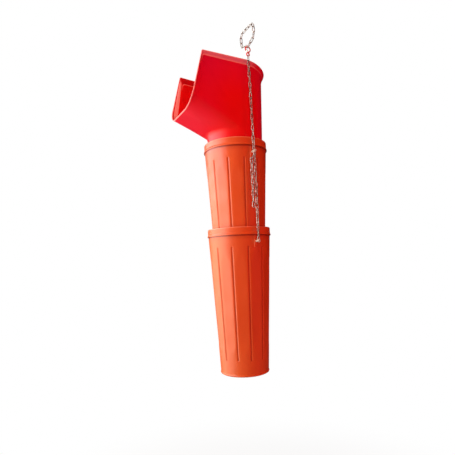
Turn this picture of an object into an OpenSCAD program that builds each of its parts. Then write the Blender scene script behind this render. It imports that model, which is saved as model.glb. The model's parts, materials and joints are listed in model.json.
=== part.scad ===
// Rubble chute: a loading hopper over two nested tapered sections, hung on two long-link chains.
// Z is the axis of the chute and the origin is the centre of the outlet.
// The mouth of the hopper faces -X, and the chains hang on the -Y side (near) and the +Y side (far).

/* [Sections] */
// Length of one section, from its outlet to the top of its collar
section_len = 1140; // [1000:5:1300]
// Outside diameter of a section just above the rolled edge of its outlet
outlet_d = 383; // [365:1:405]
// Outside diameter of a section just under its bead
body_d = 494; // [484:1:498]
// Height of the collar, from the underside of the bead
collar_h = 60; // [50:1:80]
// Width of the ledge inside the collar
ledge_w = 3; // [2:0.25:5]
// Height of the ledge above the underside of the bead
ledge_rise = 4; // [2:0.5:8]
// How far the bead stands proud of the collar
bead_proud = 5; // [3:0.5:6]
// Height of the bead
bead_h = 16; // [12:1:20]
// Wall thickness of the mouldings
wall = 6.5; // [5:0.5:7]
// Height of the rolled edge at the outlet
roll_h = 16; // [12:1:18]
// How far the rolled edge stands proud of the wall
roll_proud = 3; // [2:0.25:4]
// Least clearance between the nested sections
nest_play = 4; // [3:0.5:8]

/* [Grooves] */
// Number of grooves round a section
groove_count = 12; // [8:2:16]
// Width of the cutter that shapes a groove
groove_cut_d = 26; // [20:0.5:32]
// Depth of a groove
groove_depth = 3.6; // [2:0.1:4]
// Height of the lower end of a groove above the outlet
groove_foot = 122; // [80:1:200]
// Distance of the upper end of a groove below the bead
groove_drop = 89; // [89:1:200]
// Depth of the flat panels between the grooves
panel_flat = 3.5; // [1:0.25:4]
// Length over which a panel fades out at each end
panel_fade = 120; // [60:5:200]

/* [Chain bolts] */
// Distance of a chain bolt below the bead
bolt_drop = 53; // [48:1:60]
// Diameter of a chain bolt
bolt_d = 10; // [8:0.5:10]
// Diameter of the cup head inside the section
head_d = 24; // [20:1:26]
// Height of the cup head
head_h = 5.5; // [4:0.5:7]
// Width of the moulded pad under a bolt
pad_w = 30; // [28:1:44]
// Height of the moulded pad
pad_h = 102; // [90:1:110]
// Corner radius of the moulded pad
pad_corner = 10; // [6:1:13]
// How far the pad stands proud of the wall at the bolt
pad_proud = 4; // [3:0.5:6]
// Width of the backing plate inside the section
plate_w = 44; // [38:1:50]
// Height of the backing plate
plate_h = 64; // [50:1:70]
// Thickness of the backing plate
plate_t = 3; // [2:0.5:4]
// Depth of the flat for the bolt head in the backing plate
spot_depth = 0.9; // [0.9:0.1:1.4]
// Outside diameter of the sleeve that holds the chain off the wall
sleeve_d = 17; // [15:0.5:20]
// Outside diameter of the washer
washer_d = 26; // [22:1:30]
// Thickness of the washer
washer_t = 2.5; // [2:0.5:3]
// Width across the flats of the nut
nut_af = 17; // [15:1:19]
// Height of the nut
nut_h = 9; // [7:0.5:11]
// Length of bolt that shows past the nut
bolt_tail = 3; // [1:0.5:6]

/* [Chains] */
// Diameter of the wire of a link
wire_d = 6; // [5:0.5:6]
// Inside length of a link
link_inside = 41; // [38:0.5:44]
// Play of a link on a bolt or a hook
link_play = 1; // [0.8:0.1:2]
// Clearance of the hanger chains beside the hopper
chain_play = 0.5; // [0.5:0.5:8]
// Number of links in a hanger chain
hanger_links = 18; // [18:2:20]
// Lean of the hanger chains towards the mouth
hanger_lean = 1.2; // [0:0.1:2]
// Number of links from the upper bolt to the lower bolt
lower_links = 17; // [15:2:19]
// Number of links in the loose end of a lower chain
tail_links = 9; // [4:1:12]
// Lean of the link that carries the loose end
tail_lean = 38; // [34:1:46]

/* [Hooks and lifting loops] */
// Diameter of the hook's bar
hook_bar = 8; // [7:0.5:8.5]
// Diameter of the hook's shank, where it leaves the eye
shank_d = 10; // [9.5:0.5:12]
// Diameter of the ball on the hook's tip
tip_d = 9; // [9:0.25:10]
// Mean radius of the hook's eye
eye_r = 12; // [11.5:0.5:14]
// Mean radius of the hook's bowl
bowl_r = 21; // [19:0.5:24]
// Height of the bowl's centre above the eye's centre
hook_reach = 39; // [38:0.5:46]
// Angle of the hook's tip round the bowl
tip_angle = 205; // [195:1:210]
// Diameter of the latch's pivot pin
latch_pin_d = 4; // [3:0.5:4.5]
// Thickness of the latch
latch_t = 2.5; // [2:0.25:3]
// Directions of the links up one half of a lifting loop, in degrees from level
loop_turns = [25, 25, 68, 90, 130, 175];

/* [Hopper] */
// Outside diameter at the top of the spout
spout_d = 445; // [435:1:455]
// Height of the top of the spout above its seat
spout_top = 126; // [100:1:150]
// Length of the spout below its seat
spout_drop = 120; // [90:5:200]
// Narrowing of the spout's radius over its length
spout_taper = 9; // [4:1:14]
// Play of the seat ring in the collar
seat_play = 1; // [0.5:0.25:1.5]
// Height of the seat ring
seat_h = 16; // [10:1:24]
// Outside diameter of the back of the hopper under its flare
back_d = 484; // [466:1:490]
// Outside diameter of the rim at the back
rim_d = 521; // [506:1:528]
// Height of the rim above the seat, on the axis
rim_h = 642; // [560:2:680]
// Fall of the rim towards the back
rim_slope = 7; // [3:0.5:9]
// Height of the rim's front corners above the rim on the axis
front_rise = 20; // [10:1:40]
// Height of the flare under the rim
flare_h = 62; // [45:1:75]
// Distance of the rim's front corners from the axis
mouth_reach = 364; // [330:2:390]
// Distance of the lip from the axis
lip_reach = 470; // [430:2:490]
// Height of the lip above the seat
lip_h = 250; // [230:2:280]
// Width of the mouth
mouth_w = 472; // [450:2:510]
// Radius of the lower corners of the mouth
mouth_corner = 130; // [90:2:150]
// Depth of the flare along the mouth
mouth_flare_len = 46; // [30:1:55]
// Widening of the mouth's flare on each side
mouth_flare = 12; // [6:1:16]
// Greatest turn of the hopper between the chains
turn_limit = 8.5; // [8.5:0.5:12]
// Turn of the hopper in the collar
hopper_turn = -2.5; // [-8.5:0.5:8.5]

/* [Hidden] */
$fn = 48;

// Clearance between pieces that rest on each other but move apart
rest_gap = 0.4;
// Clearance of pieces that are clamped or seated together
seat_gap = 0.1;
// Overlap of cutters past the faces that they cut
over = 20;
// Thickness of the plates that the hopper's loft is drawn between
thin = 1;
// Radius of the hopper's upper front corners
front_corner = 8;
// Number of facets round the hopper's loft
loft_fn = 64;

section_orange = [0.86, 0.26, 0.09];
hopper_red = [0.84, 0.02, 0.03];
zinc = [0.72, 0.72, 0.7];
hook_red = [0.8, 0.1, 0.12];
dark_steel = [0.45, 0.45, 0.46];

outlet_r = outlet_d / 2;
body_r = body_d / 2;
collar_r = body_r + ledge_w;
bead_r = collar_r + bead_proud;
bead_z = section_len - collar_h;
body_rise = bead_z - roll_h;
body_tilt = atan((body_r - outlet_r) / body_rise);
bolt_z = bead_z - bolt_drop;
function wall_at(z) = outlet_r + (z - roll_h) * tan(body_tilt);
bolt_wall_r = wall_at(bolt_z);
wall_across = wall / cos(body_tilt);
pad_face = bolt_wall_r + pad_proud;
pad_z = bead_z - pad_h / 2 + bead_h / 4;
plate_face = bolt_wall_r - wall - seat_gap - plate_t + spot_depth;
collar_bore_r = collar_r - wall;

link_gap_w = max(bolt_d, hook_bar) + link_play;
crown_r = link_gap_w / 2;
bow_r = crown_r + wire_d / 2;
link_straight = link_inside - link_gap_w;
link_reach = link_inside / 2 + wire_d / 2;
pitch = link_inside - rest_gap;

// The bead or the hopper, whichever is wider, sets how far out the chains hang
chain_reach = (max(bead_r, rim_d / 2, mouth_w / 2) + chain_play + crown_r + wire_d) / cos(turn_limit);

// The chain sets how far the sections nest, and has enough links to keep them clear of each other
head_face = plate_face - head_h;
roll_room = (wall_across + roll_proud + nest_play) / tan(body_tilt);
head_room = bolt_z + head_d / 2 - roll_h - (head_face - nest_play - outlet_r) / tan(body_tilt);
least_rise = min(section_len + nest_play, max(roll_room, head_room));
least_links = (least_rise - rest_gap + link_gap_w) / pitch;
drop_links = max(lower_links, 2 * ceil((least_links - 1) / 2) + 1);
section_rise = drop_links * pitch + rest_gap - link_gap_w;
upper_bolt_z = section_rise + bolt_z;
outer_reach = chain_reach + wire_d + rest_gap;
washer_face = outer_reach + wire_d / 2 + rest_gap;

lower_top_z = upper_bolt_z + crown_r - link_inside / 2;
second_bow_z = lower_top_z - pitch + link_reach;
tail_hang_x = -(crown_r - wire_d / 2 - rest_gap);
tail_hang_z = second_bow_z + sqrt(pow(wire_d + rest_gap, 2) - pow(tail_hang_x, 2));
tail_pivot_x = tail_hang_x - 2 * link_reach * sin(tail_lean);
tail_pivot_z = tail_hang_z - 2 * link_reach * cos(tail_lean);

hang_len = hanger_links * pitch + rest_gap - link_gap_w;
hang_x = -hang_len * sin(hanger_lean);
eye_bar_z = upper_bolt_z + hang_len * cos(hanger_lean);
eye_z = eye_bar_z + eye_r;
bowl_z = eye_z + hook_reach;
hook_top_z = bowl_z + bowl_r;
shank_angle = -62;
latch_z = eye_z + eye_r + latch_pin_d;
latch_x = -latch_pin_d;
latch_gap_w = shank_d + 2 * rest_gap;
latch_w = latch_gap_w + 2 * latch_t;
latch_knuckle_r = latch_pin_d / 2 + latch_t;
tip_x = bowl_r * cos(tip_angle);
tip_z = bowl_z + bowl_r * sin(tip_angle);
tip_off = tip_d / 2 + rest_gap + latch_t / 2;
tip_far = norm([tip_x - latch_x, tip_z - latch_z]);
latch_lean = atan2(tip_z - latch_z, tip_x - latch_x) - asin(tip_off / tip_far);
latch_len = sqrt(tip_far * tip_far - tip_off * tip_off);

// Where a loop bends, the joint is at the bow's centre of the link that lies in the loop's plane
loop_links = 2 * len(loop_turns) + 1;
flat_leg = link_straight;
cross_leg = 2 * pitch - link_straight;
function loop_leg(i) = i % 2 == 0 ? flat_leg : cross_leg;
function loop_turn(i) = i < len(loop_turns) ? loop_turns[i] : i == len(loop_turns) ? 180
    : 360 - loop_turns[2 * len(loop_turns) - i];
function loop_joint(i) = i == 0 ? [0, 0]
    : loop_joint(i - 1) + loop_leg(i - 1) * [cos(loop_turn(i - 1)), sin(loop_turn(i - 1))];

seat_z = section_rise + bead_z + ledge_rise;
mouth_top_h = rim_h + front_rise;
mouth_lean = atan((lip_reach - mouth_reach) / (mouth_top_h - lip_h));
mouth_len = (mouth_top_h - lip_h) / cos(mouth_lean);
ramp_lean = atan((lip_h - spout_top) / (lip_reach - spout_d / 2));
ramp_fall = tan(ramp_lean - mouth_lean);

// Placing
module at_both_sides() for (turn = [0, 180]) rotate([0, 0, turn]) children();
module at_bolts(level) at_both_sides() translate([0, 0, level]) rotate([90, 0, 0]) children();
module on_side(side) mirror([0, side > 0 ? 1 : 0, 0]) children();

// Sections
function arc(centre, radius, from, to, steps) = [
    for (i = [0 : steps]) let (turn = from + (to - from) * i / steps) centre + radius * [cos(turn), sin(turn)]
];

function rolled_edge() = arc(
    [outlet_r + roll_proud - roll_h / 2, roll_h / 2], roll_h / 2, -90, acos(1 - 2 * roll_proud / roll_h), 8
);

// The bead is widest at its flat underside and curves back into the collar
function bead() = let (curve_r = (bead_h * bead_h + bead_proud * bead_proud) / (2 * bead_proud))
    arc([bead_r - curve_r, bead_z], curve_r, 0, asin(bead_h / curve_r), 8);

module body_cone(inset) {
    reach = inset / cos(body_tilt);
    grow = over * tan(body_tilt);
    translate([0, 0, roll_h - over])
        cylinder(r1 = outlet_r - reach - grow, r2 = body_r - reach, h = body_rise + over, $fn = 128);
}

module rounded_plate(w, h, corner, t) linear_extrude(t) {
    square([w - 2 * corner, h], center = true);
    square([w, h - 2 * corner], center = true);
    for (x = [-1, 1], y = [-1, 1]) translate([x * (w / 2 - corner), y * (h / 2 - corner)]) circle(r = corner);
}

// Half of the outside of a section, closed on the axis
module outside_profile() polygon(concat(
    [[0, 0]],
    rolled_edge(),
    [[outlet_r, roll_h], [body_r, bead_z]],
    bead(),
    arc([collar_r - wall / 2, section_len - wall / 2], wall / 2, 0, 180, 6),
    [[0, section_len - wall / 2]]
));

module inside_profile() polygon([
    [0, -over],
    [outlet_r - wall_across - (over + roll_h) * tan(body_tilt), -over],
    [body_r - wall_across + ledge_rise * tan(body_tilt), bead_z + ledge_rise],
    [collar_bore_r, bead_z + ledge_rise],
    [collar_bore_r, section_len + over],
    [0, section_len + over]
]);

module pads() at_both_sides() translate([0, 2 * wall - pad_face, pad_z]) rotate([90, 0, 0])
    rounded_plate(pad_w, pad_h, pad_corner, 2 * wall);

// The cutter's axis stands off the wall, and its pointed ends fade the groove out
module groove() {
    cut_r = groove_cut_d / 2;
    stand_off = cut_r - groove_depth;
    run = (bead_z - groove_drop - groove_foot) / cos(body_tilt) + 2 * stand_off;
    foot_z = groove_foot - stand_off;
    translate([wall_at(foot_z) + stand_off, 0, foot_z]) rotate([0, body_tilt, 0]) {
        cylinder(r1 = 0, r2 = cut_r, h = cut_r);
        translate([0, 0, cut_r]) cylinder(r = cut_r, h = run - 2 * cut_r);
        translate([0, 0, run - cut_r]) cylinder(r1 = cut_r, r2 = 0, h = cut_r);
    }
}

// The cutter of a panel comes in through the wall and leaves it again at a slant
module panel() {
    top_z = bead_z - groove_drop;
    rotate([90, 0, 0]) linear_extrude(body_r, center = true) polygon([
        [wall_at(groove_foot) + panel_flat, groove_foot],
        [wall_at(groove_foot + panel_fade) - panel_flat, groove_foot + panel_fade],
        [wall_at(top_z - panel_fade) - panel_flat, top_z - panel_fade],
        [wall_at(top_z) + panel_flat, top_z],
        [body_r + over, top_z],
        [body_r + over, groove_foot]
    ]);
}

module section() color(section_orange) difference() {
    union() {
        difference() {
            rotate_extrude($fn = 128) outside_profile();
            for (i = [0 : groove_count - 1]) rotate([0, 0, i * 360 / groove_count]) panel();
        }
        pads();
    }
    rotate_extrude($fn = 128) inside_profile();
    for (i = [0 : groove_count - 1]) rotate([0, 0, (i + 0.5) * 360 / groove_count]) groove();
    at_bolts(bolt_z) cylinder(d = bolt_d + 2 * seat_gap, h = body_d);
}

// Chain bolts
module bolt() color(zinc) {
    cap_r = (head_d * head_d / 4 + head_h * head_h) / (2 * head_h);
    intersection() {
        translate([0, 0, head_face + cap_r]) sphere(r = cap_r);
        translate([0, 0, head_face]) cylinder(d = head_d, h = head_h);
    }
    bolt_end = washer_face + washer_t + nut_h + bolt_tail;
    translate([0, 0, plate_face]) cylinder(d = bolt_d, h = bolt_end - plate_face);
}

module backing_plates() color(dark_steel) difference() {
    intersection() {
        difference() {
            body_cone(wall + seat_gap);
            body_cone(wall + seat_gap + plate_t);
        }
        at_bolts(bolt_z) translate([0, 0, body_r / 2]) rounded_plate(plate_w, plate_h, pad_corner, body_r);
    }
    at_bolts(bolt_z) {
        cylinder(d = bolt_d + 2 * seat_gap, h = body_d);
        cylinder(d = head_d + 2 * seat_gap, h = plate_face);
    }
}

module washer() tube(washer_d, washer_face, washer_face + washer_t);

module tube(d, from, to) color(zinc) difference() {
    translate([0, 0, from]) cylinder(d = d, h = to - from);
    cylinder(d = bolt_d + 2 * seat_gap, h = to + over);
}

module nut() color(zinc) difference() {
    translate([0, 0, washer_face + washer_t]) cylinder(d = nut_af / cos(30), h = nut_h, $fn = 6);
    cylinder(d = bolt_d + 2 * seat_gap, h = body_d);
}

// Chains
module link() color(zinc) {
    for (end = [0, 180]) rotate([0, end, 0]) translate([0, 0, link_straight / 2]) rotate([90, 0, 0])
        rotate_extrude(angle = 180) translate([bow_r, 0]) circle(d = wire_d);
    for (x = [-bow_r, bow_r]) translate([x, 0, -link_straight / 2]) cylinder(d = wire_d, h = link_straight);
}

module strand(count, quarter_turns) for (i = [0 : count - 1])
    translate([0, 0, i * pitch]) rotate([0, 0, 90 * ((i + quarter_turns) % 2)]) link();

module hanger_chain(side) on_side(side) translate([0, -chain_reach, upper_bolt_z])
    rotate([0, -hanger_lean, 0]) translate([0, 0, link_inside / 2 - crown_r]) strand(hanger_links, 0);

module lower_chain(side) on_side(side) translate([0, -outer_reach, 0]) {
    translate([0, 0, lower_top_z - (drop_links - 1) * pitch]) strand(drop_links, drop_links - 1);
    translate([tail_hang_x, 0, tail_hang_z]) rotate([0, tail_lean, 0])
        translate([0, 0, -link_reach]) rotate([0, 0, 90]) link();
}

module chain_tail(side) on_side(side) {
    foot_z = tail_pivot_z + wire_d + rest_gap - link_reach - (tail_links - 1) * pitch;
    translate([tail_pivot_x, -outer_reach, foot_z]) strand(tail_links, tail_links - 1);
}

module lifting_loop(side) on_side(side) translate([hang_x, -chain_reach, hook_top_z])
    for (i = [0 : loop_links - 1]) {
        middle = (loop_joint(i) + loop_joint(i + 1)) / 2;
        drift = (wire_d + rest_gap) * (i / (loop_links - 1) - 0.5);
        translate([drift, middle[0], middle[1]]) rotate([loop_turn(i) - 90, 0, 0])
            rotate([0, 0, 90 * ((i + 1) % 2)]) link();
    }

// Hooks
module hook(side) color(hook_red) translate([hang_x, side * chain_reach, 0]) difference() {
    union() {
        translate([0, 0, eye_z]) rotate([90, 0, 0])
            rotate_extrude() translate([eye_r, 0]) circle(d = hook_bar);
        translate([0, 0, bowl_z]) rotate([90, 0, 0]) rotate([0, 0, shank_angle])
            rotate_extrude(angle = tip_angle - shank_angle) translate([bowl_r, 0]) circle(d = hook_bar);
        translate([tip_x, 0, tip_z]) sphere(d = tip_d);
        hook_shank();
        translate([latch_x, 0, latch_z]) rotate([90, 0, 0])
            cylinder(r = latch_knuckle_r, h = hook_bar + 1, center = true);
    }
    translate([latch_x, 0, latch_z]) rotate([90, 0, 0])
        cylinder(d = latch_pin_d + 2 * seat_gap, h = latch_w, center = true);
}

module hook_shank() {
    foot = [0, eye_z + eye_r];
    head = [bowl_r * cos(shank_angle), bowl_z + bowl_r * sin(shank_angle)];
    lean = atan2(head[0] - foot[0], head[1] - foot[1]);
    translate([foot[0], 0, foot[1]]) rotate([0, lean, 0]) cylinder(d = shank_d, h = norm(head - foot));
    translate([head[0], 0, head[1]]) sphere(d = shank_d + 1);
}

module latch(side) color(zinc) translate([hang_x + latch_x, side * chain_reach, latch_z]) difference() {
    union() {
        rotate([90, 0, 0]) cylinder(r = latch_knuckle_r, h = latch_w, center = true);
        rotate([0, -latch_lean, 0]) translate([0, -latch_w / 2, -latch_t / 2])
            cube([latch_len, latch_w, latch_t]);
    }
    rotate([90, 0, 0]) cylinder(r = latch_knuckle_r + rest_gap, h = latch_gap_w, center = true);
    rotate([90, 0, 0]) cylinder(d = latch_pin_d + 2 * seat_gap, h = 2 * latch_w, center = true);
}

module latch_pins() color(dark_steel) for (side = [-1, 1])
    translate([hang_x + latch_x, side * chain_reach, latch_z]) rotate([90, 0, 0])
        cylinder(d = latch_pin_d, h = latch_w, center = true);

// Hopper
module spout_plate(inset) translate([0, 0, spout_top - thin])
    cylinder(r = spout_d / 2 - inset, h = thin, $fn = loft_fn);

module rim_plate(radius, drop) translate([0, 0, rim_h]) rotate([0, rim_slope, 0])
    translate([0, 0, -drop]) cylinder(r = radius, h = thin, $fn = loft_fn);

module mouth_disc(radius, back, y, z) translate([-lip_reach, 0, lip_h]) rotate([0, mouth_lean, 0])
    translate([back, y, z]) rotate([0, 90, 0]) cylinder(r = radius, h = thin, $fn = loft_fn);

// The mouth flares at its sides and fades to none at the lip, where the ramp runs straight out
module mouth_plate(narrow, inset, back, top) {
    lower_r = mouth_corner - narrow;
    for (y = (mouth_w / 2 - mouth_corner) * [-1, 1])
        mouth_disc(lower_r - inset, back, y, lower_r - back * ramp_fall);
    upper_corners(narrow + inset, back, top);
}

module upper_corners(inset, back, top) for (side = [-1, 1])
    mouth_disc(front_corner, back, side * (mouth_w / 2 - inset - front_corner), top - front_corner);

// The hollow is the same loft, drawn in by the wall and carried past the rim and the mouth
module hopper_form(inset, open) {
    lift = open ? over : 0;
    spread = open ? (rim_d - back_d) / 2 / flare_h * over : 0;
    widen = open ? mouth_flare / mouth_flare_len * over : 0;
    hull() {
        spout_plate(inset);
        rim_plate(back_d / 2 - inset, flare_h);
        mouth_plate(mouth_flare, inset, mouth_flare_len, mouth_len - flare_h);
    }
    hull() {
        rim_plate(back_d / 2 - inset, flare_h);
        upper_corners(mouth_flare + inset, mouth_flare_len, mouth_len - flare_h);
        rim_plate(rim_d / 2 - inset + spread, -lift);
        upper_corners(inset - widen, -lift, mouth_len + lift);
    }
    hull() {
        mouth_plate(mouth_flare, inset, mouth_flare_len, mouth_len - flare_h);
        mouth_plate(-widen, inset, -lift, mouth_len + lift);
    }
}

module spout_cone(inset, extra) {
    top_r = spout_d / 2 - inset;
    translate([0, 0, -spout_drop - extra])
        cylinder(r1 = top_r - spout_taper, r2 = top_r, h = spout_drop + spout_top + extra, $fn = 128);
}

module hopper() color(hopper_red) translate([0, 0, seat_z]) rotate([0, 0, hopper_turn]) difference() {
    union() {
        hopper_form(0, false);
        spout_cone(0, 0);
        translate([0, 0, rest_gap]) cylinder(r = collar_bore_r - seat_play, h = seat_h, $fn = 128);
    }
    hopper_form(wall, true);
    spout_cone(wall, over);
}

hopper();
translate([0, 0, section_rise]) section();  // upper_section
at_bolts(upper_bolt_z) bolt();  // upper_bolts
translate([0, 0, section_rise]) backing_plates();  // upper_backing_plates
at_bolts(upper_bolt_z) tube(sleeve_d, pad_face, chain_reach - wire_d / 2 - rest_gap);  // upper_sleeves
at_bolts(upper_bolt_z) washer();  // upper_washers
at_bolts(upper_bolt_z) nut();  // upper_nuts
section();  // lower_section
at_bolts(bolt_z) bolt();  // lower_bolts
backing_plates();  // lower_backing_plates
at_bolts(bolt_z) tube(sleeve_d, pad_face, outer_reach - wire_d / 2 - rest_gap);  // lower_sleeves
at_bolts(bolt_z) washer();  // lower_washers
at_bolts(bolt_z) nut();  // lower_nuts
hanger_chain(-1);  // hanger_chain_near
hanger_chain(1);  // hanger_chain_far
lifting_loop(-1);  // lifting_loop_near
lifting_loop(1);  // lifting_loop_far
hook(-1);  // hook_near
hook(1);  // hook_far
latch(-1);  // latch_near
latch(1);  // latch_far
latch_pins();
lower_chain(-1);  // lower_chain_near
lower_chain(1);  // lower_chain_far
chain_tail(-1);  // chain_tail_near
chain_tail(1);  // chain_tail_far
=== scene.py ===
# %% [markdown]
# # A rubble chute, dressed in Blender
# The chute is a red loading hopper over two orange tapered sections, hung on two chains. The packed
# model gives every piece its size and place, and this file gives it its surface: smooth mouldings,
# round links and the finish of polyethylene, galvanised steel and worn paint.

# %% Load the frame
import json
import math

import bpy
import numpy as np
from mathutils import Matrix


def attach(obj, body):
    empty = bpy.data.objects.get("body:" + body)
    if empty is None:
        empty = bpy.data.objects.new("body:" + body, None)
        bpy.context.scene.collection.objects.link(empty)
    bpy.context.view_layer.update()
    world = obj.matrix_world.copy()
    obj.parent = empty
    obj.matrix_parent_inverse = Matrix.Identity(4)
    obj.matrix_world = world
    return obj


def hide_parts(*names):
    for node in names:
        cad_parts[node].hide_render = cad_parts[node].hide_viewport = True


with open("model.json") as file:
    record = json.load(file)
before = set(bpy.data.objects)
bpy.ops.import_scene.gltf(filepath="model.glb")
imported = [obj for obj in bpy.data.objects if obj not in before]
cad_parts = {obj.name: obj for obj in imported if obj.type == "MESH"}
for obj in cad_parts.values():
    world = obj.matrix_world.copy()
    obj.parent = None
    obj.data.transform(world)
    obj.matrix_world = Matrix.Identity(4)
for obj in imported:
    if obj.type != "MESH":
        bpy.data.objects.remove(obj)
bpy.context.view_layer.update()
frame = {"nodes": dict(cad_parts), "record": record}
MM = 0.001

# %% [markdown]
# ## The camera
# The view was solved from the round edges of the two sections and of the hopper. The lens is a
# moderate wide one below the lower collar, turned 29 degrees from the chains' side and rolled a
# little, so upright lines lean in the picture. The picture is cut off low, which is a lens shift.

# %% Place the camera
FRAME_PX, FOCAL_PX, CENTRE_DROP_PX, SENSOR_MM = 455, 397.5, 26.0, 36.0
YAW, PITCH, ROLL = np.radians([29.2, 1.46, 2.52])
AXIS_TO_RIGHT, AXIS_DEPTH, EYE_HEIGHT = 0.0997, 3.215, 0.866


def camera_axes():
    """Right, up, back and place of the camera: level axes turned by yaw, then pitched, then rolled."""
    level = np.array([math.sin(YAW), math.cos(YAW), 0.0])
    right = np.array([math.cos(YAW), -math.sin(YAW), 0.0])
    upright = np.array([0.0, 0.0, 1.0])
    ahead = level * math.cos(PITCH) + upright * math.sin(PITCH)
    lift = upright * math.cos(PITCH) - level * math.sin(PITCH)
    place = EYE_HEIGHT * upright - AXIS_TO_RIGHT * right - AXIS_DEPTH * level
    rolled_right = right * math.cos(ROLL) - lift * math.sin(ROLL)
    rolled_up = right * math.sin(ROLL) + lift * math.cos(ROLL)
    return rolled_right, rolled_up, -ahead, place


def to_matrix(columns):
    """A 4x4 list of rows from the three axes and the place."""
    rows = np.eye(4)
    rows[:3, :] = np.stack(columns, axis=1)
    return rows.tolist()


lens = bpy.data.cameras.new("view")
lens.sensor_width = SENSOR_MM
lens.lens = FOCAL_PX / FRAME_PX * SENSOR_MM
lens.shift_y = CENTRE_DROP_PX / FRAME_PX
eye = bpy.data.objects.new("view", lens)
bpy.context.scene.collection.objects.link(eye)
eye.matrix_world = Matrix(to_matrix(camera_axes()))
bpy.context.scene.camera = eye
print("lens in mm:", round(lens.lens, 2), "at", [round(v, 3) for v in eye.location])

# %% [markdown]
# ## Grids into meshes
# Every new piece is a grid of points over two parameters, closed both ways like a ring. The faces of
# such a grid always join the same neighbours, so one helper makes them for a wall and for a link
# alike, and numpy hands whole arrays to the mesh.

# %% Grid helpers


def grid_quads(rows, cols):
    """Quads that join point (i, j) to (i, j+1), (i+1, j+1) and (i+1, j), with both ends joined round."""
    i, j = np.meshgrid(np.arange(rows), np.arange(cols), indexing="ij")
    down, over = (i + 1) % rows, (j + 1) % cols
    corners = [i * cols + j, i * cols + over, down * cols + over, down * cols + j]
    return np.stack(corners, -1).reshape(-1, 4)


def mesh_from(name, points, quads, sharp_deg=40):
    """A mesh of all the points and quads, smooth except across edges sharper than sharp_deg."""
    points = np.asarray(points, np.float32).reshape(-1, 3)
    mesh = bpy.data.meshes.new(name)
    mesh.vertices.add(len(points))
    mesh.vertices.foreach_set("co", points.ravel())
    mesh.loops.add(quads.size)
    mesh.loops.foreach_set("vertex_index", quads.ravel().astype(np.int32))
    mesh.polygons.add(len(quads))
    mesh.polygons.foreach_set("loop_start", np.arange(0, quads.size, 4, dtype=np.int32))
    mesh.polygons.foreach_set("use_smooth", np.ones(len(quads), bool))
    mesh.update(calc_edges=True)
    mesh.validate()
    mesh.set_sharp_from_angle(angle=math.radians(sharp_deg))
    return mesh


def add_piece(name, points, quads, body, finish, stands_for, sharp_deg=40, chart=None):
    """An object for the points in millimetres, which rides on a body and stands for CAD nodes.

    A chart gives each point two numbers for the finish to read, such as a distance from an edge.
    """
    obj = bpy.data.objects.new(name, mesh_from(name, np.asarray(points) * MM, quads, sharp_deg))
    if chart is not None:
        layer = obj.data.uv_layers.new(name="chart")
        layer.data.foreach_set("uv", chart.reshape(-1, 2)[quads.ravel()].astype(np.float32).ravel())
    bpy.context.scene.collection.objects.link(obj)
    obj.data.materials.append(FINISHES[finish])
    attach(obj, body)
    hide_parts(*stands_for)
    print(name, "has", len(quads), "quads")


print("a grid of 3 by 4 points has", len(grid_quads(3, 4)), "quads")

# %% [markdown]
# ## Shader maths
# A finish mixes noise, streaks and scuffs. Its nodes could be placed one by one, but then the recipe
# is lost among the links. One small class wraps a socket instead, so that a sum or a product in Python
# adds its Math node, and a finish reads like a formula.

# %% Sockets as numbers


class Wire:
    """A socket of a node tree that Python's operators work on: each adds one Math node."""

    def __init__(self, tree, socket):
        self.tree, self.socket = tree, socket

    def node(self, kind, settings=None, output=0, **inputs):
        """Adds a node, sets it, then feeds its sockets by number (i0) or by name, with _ for a space."""
        made = self.tree.nodes.new(kind)
        for key, value in (settings or {}).items():
            setattr(made, key, value)
        for key, value in inputs.items():
            socket = int(key[1:]) if key[1:].isdigit() else key.replace("_", " ")
            self.feed(made.inputs[socket], value)
        return Wire(self.tree, made.outputs[output])

    def feed(self, socket, value):
        """Links a wire to a socket, or sets the socket to a plain value."""
        if isinstance(value, Wire):
            self.tree.links.new(value.socket, socket)
        else:
            socket.default_value = value

    def math(self, operation, first, second):
        """A Math node on two wires or numbers."""
        return self.node("ShaderNodeMath", {"operation": operation}, i0=first, i1=second)

    def __add__(self, other):
        return self.math("ADD", self, other)

    def __sub__(self, other):
        return self.math("SUBTRACT", self, other)

    def __rsub__(self, other):
        return self.math("SUBTRACT", other, self)

    def __mul__(self, other):
        return self.math("MULTIPLY", self, other)

    __radd__, __rmul__ = __add__, __mul__

    def band(self, low, high):
        """0 up to low, 1 from high on and a smooth step between, also where low is the larger."""
        settings = {"interpolation_type": "SMOOTHSTEP"}
        return self.node("ShaderNodeMapRange", settings, Value=self, From_Min=low, From_Max=high)

    def stripe(self, low, high, soft):
        """1 between low and high, and 0 outside them: one step up times one step down."""
        return self.band(low - soft, low) * (1 - self.band(high, high + soft))

    def axis(self, k):
        """One coordinate of a place."""
        return self.node("ShaderNodeSeparateXYZ", output=k, i0=self)

    def tint(self, first, second):
        """The first colour where this is 0 and the second where it is 1."""
        return self.node("ShaderNodeMix", {"data_type": "RGBA"}, output=2, i0=self, i6=first, i7=second)


print("a wire knows:", sorted(name for name in vars(Wire) if not name.startswith("_")))

# %% Colours and new finishes


def linear(red, green, blue):
    """A colour written in screen values from 0 to 255, as the shader's linear light."""
    screen = np.array([red, green, blue]) / 255
    light = np.where(screen <= 0.04045, screen / 12.92, ((screen + 0.055) / 1.055) ** 2.4)
    return [*light.tolist(), 1.0]


FINISHES = {}


def new_finish(slot, **constants):
    """A material for a slot with the shader's plain numbers set, and wires for place and chart."""
    made = bpy.data.materials.new(slot)
    made.use_nodes = True
    shader = made.node_tree.nodes["Principled BSDF"]
    for key, value in constants.items():
        shader.inputs[key.replace("_", " ")].default_value = value
    FINISHES[slot] = made
    tree, ways = made.node_tree, made.node_tree.nodes.new("ShaderNodeTexCoord").outputs
    return Wire(tree, ways["Object"]), Wire(tree, ways["UV"]), shader


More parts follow.
